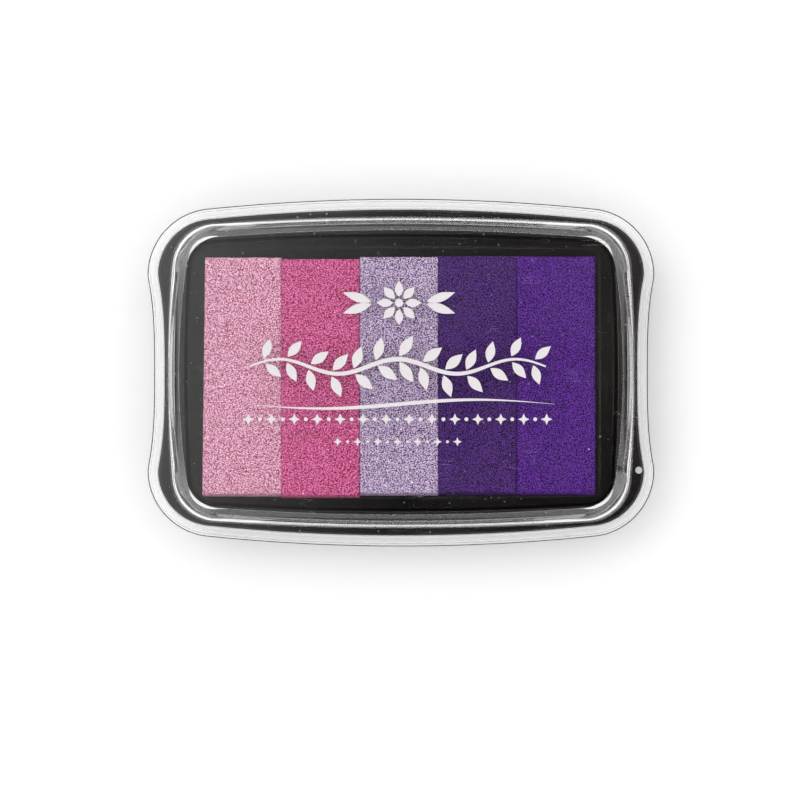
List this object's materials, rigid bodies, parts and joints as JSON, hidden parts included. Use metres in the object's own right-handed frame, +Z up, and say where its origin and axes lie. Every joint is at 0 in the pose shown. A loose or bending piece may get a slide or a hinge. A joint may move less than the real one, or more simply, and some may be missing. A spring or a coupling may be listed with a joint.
{
  "type": "ink pad",
  "caption": "Flat multicolour stamp ink pad: raised foam strips side by side in a black tray, under a clear waisted lift-off lid with corner stacking ribs.",
  "frame": {"origin": "middle of the footprint, on the surface that the pad stands on", "axes": "+X along the long side, +Y to the back, +Z up"},
  "size_m": [0.105, 0.072, 0.019],
  "materials": {
    "clear_plastic": "polished",
    "black_plastic": "satin",
    "foam_light_pink": "matte",
    "foam_magenta": "matte",
    "foam_lavender": "matte",
    "foam_dark_violet": "matte",
    "foam_purple": "matte",
    "adhesive_tape": "satin",
    "label_paper": "matte"
  },
  "bodies": {
    "tray": {"base_tray": "black_plastic", "pad_platform": "black_plastic", "ink_strip_light_pink": "foam_light_pink", "ink_strip_magenta": "foam_magenta", "ink_strip_lavender": "foam_lavender", "ink_strip_dark_violet": "foam_dark_violet", "ink_strip_purple": "foam_purple", "tape_light_pink": "adhesive_tape", "tape_magenta": "adhesive_tape", "tape_lavender": "adhesive_tape", "tape_dark_violet": "adhesive_tape", "tape_purple": "adhesive_tape", "underside_label": "label_paper"},
    "lid": {"lid": "clear_plastic"}
  },
  "joints": [
    {"name": "lid_lift", "type": "slide", "parent": "tray", "child": "lid", "axis": [0, 0, 1], "range_m": [0, 0.03]}
  ]
}
